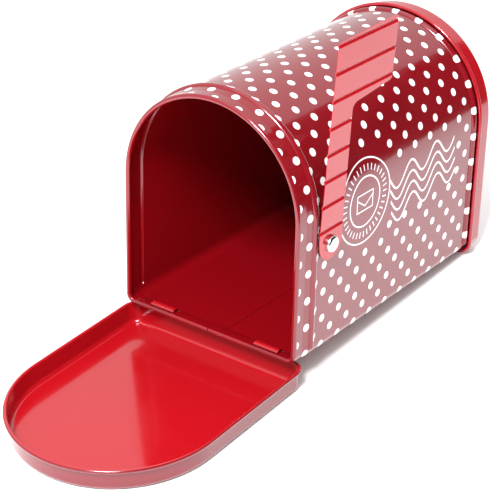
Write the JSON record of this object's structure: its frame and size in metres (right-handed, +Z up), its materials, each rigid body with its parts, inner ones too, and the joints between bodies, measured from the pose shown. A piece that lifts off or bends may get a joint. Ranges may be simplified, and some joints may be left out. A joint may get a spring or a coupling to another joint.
{
  "type": "tin money box",
  "caption": "Tin money box shaped like a small post box: arched tube body, front door hinged at the floor, pressed rear cover and a side signal flag on a rivet.",
  "frame": {"origin": "on the flat underside of the body, midway across its width, 80 mm behind the front rim", "axes": "+X across the body towards the flag side, +Y from the front rim to the rear cover, +Z up from the underside"},
  "size_m": [0.1103, 0.2779, 0.1741],
  "materials": {
    "body_lacquer": "deep red gloss lacquer with white printed dots outside, plain red inside",
    "cover_lacquer": "plain red gloss lacquer",
    "door_lacquer": "plain red gloss lacquer",
    "flag_lacquer": "plain red gloss lacquer",
    "rivet_metal": "bright nickel plate",
    "spacer_metal": "plain zinc-plated steel"
  },
  "bodies": {
    "body": {"body_shell": "body_lacquer", "rear_cover": "cover_lacquer", "flag_rivet": "rivet_metal", "flag_spacer": "spacer_metal"},
    "door": {"front_door": "door_lacquer"},
    "flag": {"signal_flag": "flag_lacquer"}
  },
  "joints": [
    {"name": "door_hinge", "type": "hinge", "parent": "body", "child": "door", "pos_m": [0, -0.0738, 0.00005], "axis": [1, 0, 0], "range_deg": [-93.7, 0]},
    {"name": "flag_pivot", "type": "hinge", "parent": "body", "child": "flag", "pos_m": [0.0523, -0.059, 0.0558], "axis": [1, 0, 0], "range_deg": [-90, 0]}
  ]
}
